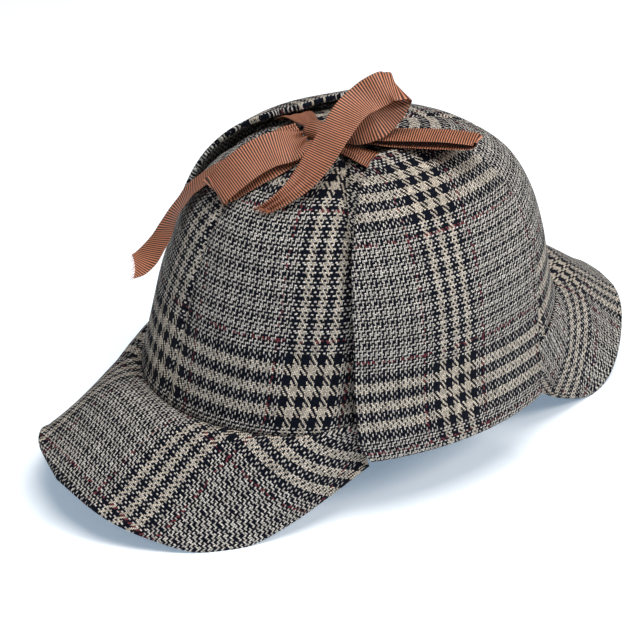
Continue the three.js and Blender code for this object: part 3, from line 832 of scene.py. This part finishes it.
def peak_piece(name, node, back, span, edge, crowning, band_middle):
    """A peak: ruled from the crown's edge to its outer edge, bulging by its crowning a third of the way
    out, two cloths thick, and rounded off at the outer edge."""
    rows, cols = 72, 220
    s = np.linspace(-1, 1, cols + 1)[None, :]
    v = np.sin(np.linspace(0, math.pi / 2, rows + 1))[:, None]
    middle = math.pi if back else 0.0

    def surface(s, v):
        phi = middle + s * math.radians(span)
        seam = crown_point(phi, np.zeros_like(phi))
        outward = np.stack([np.sin(phi), -np.cos(phi), 0 * phi], axis=-1)
        seam = seam - SEAM_LAP * outward
        share = np.abs(s)
        hand = np.sign(s) * (-1 if back else 1)
        height = np.where(hand > 0, column(edge, "left", share), column(edge, "right", share))
        rim = np.stack([hand * column(edge, "aside", share),
                        SET_BACK + (1 if back else -1) * column(edge, "out", share), height], axis=-1)
        point = seam + (rim - seam) * v[..., None]
        lift = crowning * v * (1 - v) ** 2 / (4 / 27)
        return point + np.stack([0 * lift, 0 * lift, lift], axis=-1)

    s, v = np.broadcast_arrays(s, v)
    base = surface(s, v)
    normal = normal_of(surface, np.clip(s, -0.98, 0.98), np.clip(v, 0.02, 0.98), 0.02, 0.02)
    normal = normal * np.sign(normal[..., 2:3])
    across = run_along(base * np.array([1, 0, 1]), 1)
    across = (across - across[:, cols // 2 : cols // 2 + 1]) * (-1 if back else 1)
    along = run_along(base * np.array([0, 1, 1]), 0) + np.abs(base[:1, :, 1])
    from_rim = run_along(base, 0)
    from_rim = from_rim[-1:] - from_rim
    round_off = np.sqrt(np.clip(1 - (1 - np.minimum(from_rim / (PEAK / 2), 1)) ** 2, 0, 1))
    lip = LIP * np.exp(-(((from_rim - LIP_IN) / ROLL_WIDTH) ** 2))
    roll = lip - GROOVE * np.exp(-(((from_rim - GROOVE_IN) / ROLL_WIDTH) ** 2))
    relief = roll + PEAK_WAVE * soft_waves(base, 0.05, 11)
    half = PEAK / 2 * round_off
    outer = base + normal * (half + relief * round_off)[..., None]
    inner = base - normal * (half - roll * round_off)[..., None]
    for side in (outer, inner):
        side[..., 2] = np.maximum(side[..., 2], 0)
    piece = wall(name, outer, inner, lay_check(across, along, band_middle, PEAK_EASE), TWEED)
    return fit(piece, "tweed", node)


peak_piece("front_peak_cloth", "front_peak", False, 60.5, FRONT_EDGE, 0.009, mm(36, 85))
peak_piece("back_peak_cloth", "back_peak", True, 61, BACK_EDGE, 0.005, mm(25, 115))


# ---------------------------------------------------------------- ear flaps

FLAP_WAVE = 0.0008
FLAP_EASE = (1.09, 1.09)


def flap_piece(name, node, hand, stand, band_middle):
    """An ear flap from its seam under the crown's edge, round its fold and up over the crown: above the
    edge it follows the crown's surface some way out from it, and below the edge its height is its row's."""
    rows, cols = 200, 110
    places = np.linspace(0, 1, 1001)
    rises = column(CROWN, "rise", places)

    def surface(s, t):
        height = column(FLAP_FORM, "height", t)
        fore, aft = column(FLAP_FORM, "fore", t), column(FLAP_FORM, "aft", t)
        phi = np.radians(fore + (aft - fore) * s)
        rim = rim_height(phi)
        place = np.interp((height - rim) / (APEX - rim), rises, places)
        normal = normal_of(crown_point, phi, np.maximum(place, 0.01), 0.01, 0.005)
        normal[..., 2] *= smoothstep(place, 0, 0.2)
        loose = stand * smoothstep(height, FOLD, FOLD + LOOSE_RISE)
        point = crown_point(phi, place) + unit(normal) * (column(FLAP_FORM, "out", t) + loose)[..., None]
        point[..., 2] = np.where(height <= rim, np.minimum(point[..., 2], height), point[..., 2])
        point[..., 0] *= hand
        return point

    s, t = np.broadcast_arrays(0.5 + 0.5 * np.sin(np.linspace(-math.pi / 2, math.pi / 2, cols + 1))[None, :],
                               np.linspace(0, 1, rows + 1)[:, None])
    base = surface(s, t)
    normal = normal_of(surface, np.clip(s, 0.01, 0.99), np.clip(t, 0.01, 0.99), 0.01, 0.01)
    across = run_along(base, 1)
    width = across[:, -1:]
    edge = np.minimum(across, width - across)
    along = run_along(base, 0)[:, cols // 2 : cols // 2 + 1] + 0 * across
    tip = along[-1:] - along
    across = across - across[:, cols // 2 : cols // 2 + 1]
    near = np.minimum(edge, tip)
    round_off = np.sqrt(np.clip(1 - (1 - np.minimum(near / (FLAP / 2), 1)) ** 2, 0, 1))
    half = FLAP / 2 * round_off
    above = smoothstep(base[..., 2], 0.038, 0.06)
    relief = FLAP_WAVE * soft_waves(base, 0.06, 21 + hand) * above * smoothstep(near, 0, 0.015)
    outer = base + normal * (half + relief)[..., None]
    inner = base - normal * (half - relief)[..., None]
    cloth = lay_check(across * hand, along, band_middle, FLAP_EASE)
    piece = wall(name, outer, inner, cloth, TWEED)
    return fit(piece, "tweed", node)


flap_piece("left_flap_cloth", "left_ear_flap", 1, 0.0, mm(-5, 46))
flap_piece("right_flap_cloth", "right_ear_flap", -1, RIGHT_FLAP_STAND, mm(5, 46))


# ---------------------------------------------------------------- floor and light

FLOOR_HALF = 4.0
FLOOR_DROP = 0.0002  # the floor lies this much under the hat
# Each soft light: name, azimuth and elevation in degrees, distance, size, power and colour.
LIGHTS = (
    ("top", 90, 78, 1.5, 1.0, 23, (1.0, 0.98, 0.95)),
    ("side", 118, 38, 1.5, 0.45, 11, (1.0, 0.97, 0.93)),
    ("fill", 5, 32, 1.6, 1.0, 2.2, (0.95, 0.97, 1.0)),
)
ROOM_COLOUR = (0.86, 0.93, 1.0, 1)
ROOM_STRENGTH = 0.16


def make_stage():
    corners = np.array([(-1, -1, 0), (1, -1, 0), (1, 1, 0), (-1, 1, 0)]) * FLOOR_HALF
    mesh = bpy.data.meshes.new("floor")
    mesh.from_pydata((corners - np.array([0, 0, FLOOR_DROP])).tolist(), [], [(0, 1, 2, 3)])
    mesh.materials.append(make_floor_material())
    link(bpy.data.objects.new("floor", mesh))
    for light in LIGHTS:
        softbox(*light)
    world = bpy.data.worlds.new("room")
    world.use_nodes = True
    background = world.node_tree.nodes["Background"]
    background.inputs["Color"].default_value = ROOM_COLOUR
    background.inputs["Strength"].default_value = ROOM_STRENGTH
    bpy.context.scene.world = world
    bpy.context.scene.view_settings.view_transform = "Standard"


make_stage()
